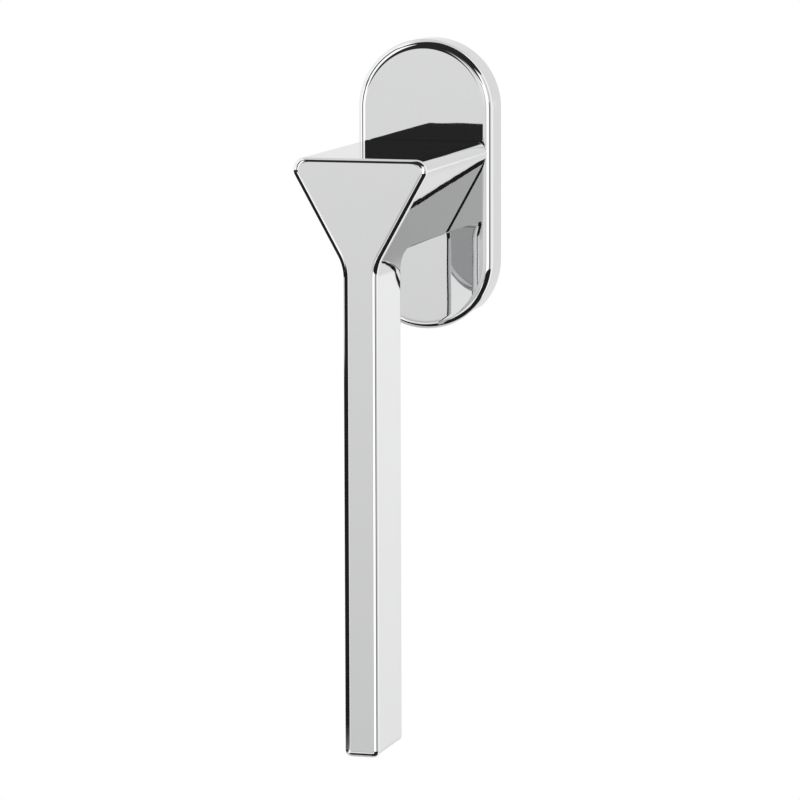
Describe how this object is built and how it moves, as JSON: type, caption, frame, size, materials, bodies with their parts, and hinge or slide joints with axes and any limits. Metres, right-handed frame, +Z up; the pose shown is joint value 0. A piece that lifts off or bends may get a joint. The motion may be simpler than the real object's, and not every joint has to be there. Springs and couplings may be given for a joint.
{
  "type": "tilt turn window handle",
  "caption": "Polished tilt-and-turn window handle: wedge-shaped head and neck on an oval rosette, with a slim straight bar hanging down and a square spindle behind.",
  "frame": {"origin": "on the spindle's axis, midway between the two fixing screws, in the plane of the window's face", "axes": "+X right as seen from the room, +Y into the window along the spindle, +Z up; at rest the bar hangs down, window closed"},
  "size_m": [0.032, 0.098, 0.1571],
  "materials": {
    "polished_chrome": "mirror polished",
    "die_cast_zinc": "as cast, tumbled",
    "plated_steel": "bright zinc plated",
    "spring_steel": "oiled, blued",
    "black_steel": "black oxide",
    "dark_nylon": "fine moulded"
  },
  "bodies": {
    "base": {"base_plate": "die_cast_zinc", "rosette_cover": "polished_chrome", "retaining_plate": "plated_steel", "plate_screws": "plated_steel", "front_bush": "dark_nylon", "rear_bush": "dark_nylon", "detent_spring_left": "spring_steel", "detent_spring_right": "spring_steel", "snap_springs": "spring_steel", "fixing_screws": "plated_steel"},
    "handle": {"lever": "polished_chrome", "hub": "die_cast_zinc", "hub_washer": "plated_steel", "glide_ring": "dark_nylon", "square_spindle": "plated_steel", "spindle_pin": "spring_steel", "grub_screw": "black_steel"}
  },
  "joints": [
    {"name": "lever_turn", "type": "hinge", "parent": "base", "child": "handle", "pos_m": [0, 0, 0], "axis": [0, 1, 0], "range_deg": [0, 180], "deforming": ["detent_spring_left", "detent_spring_right"]}
  ]
}
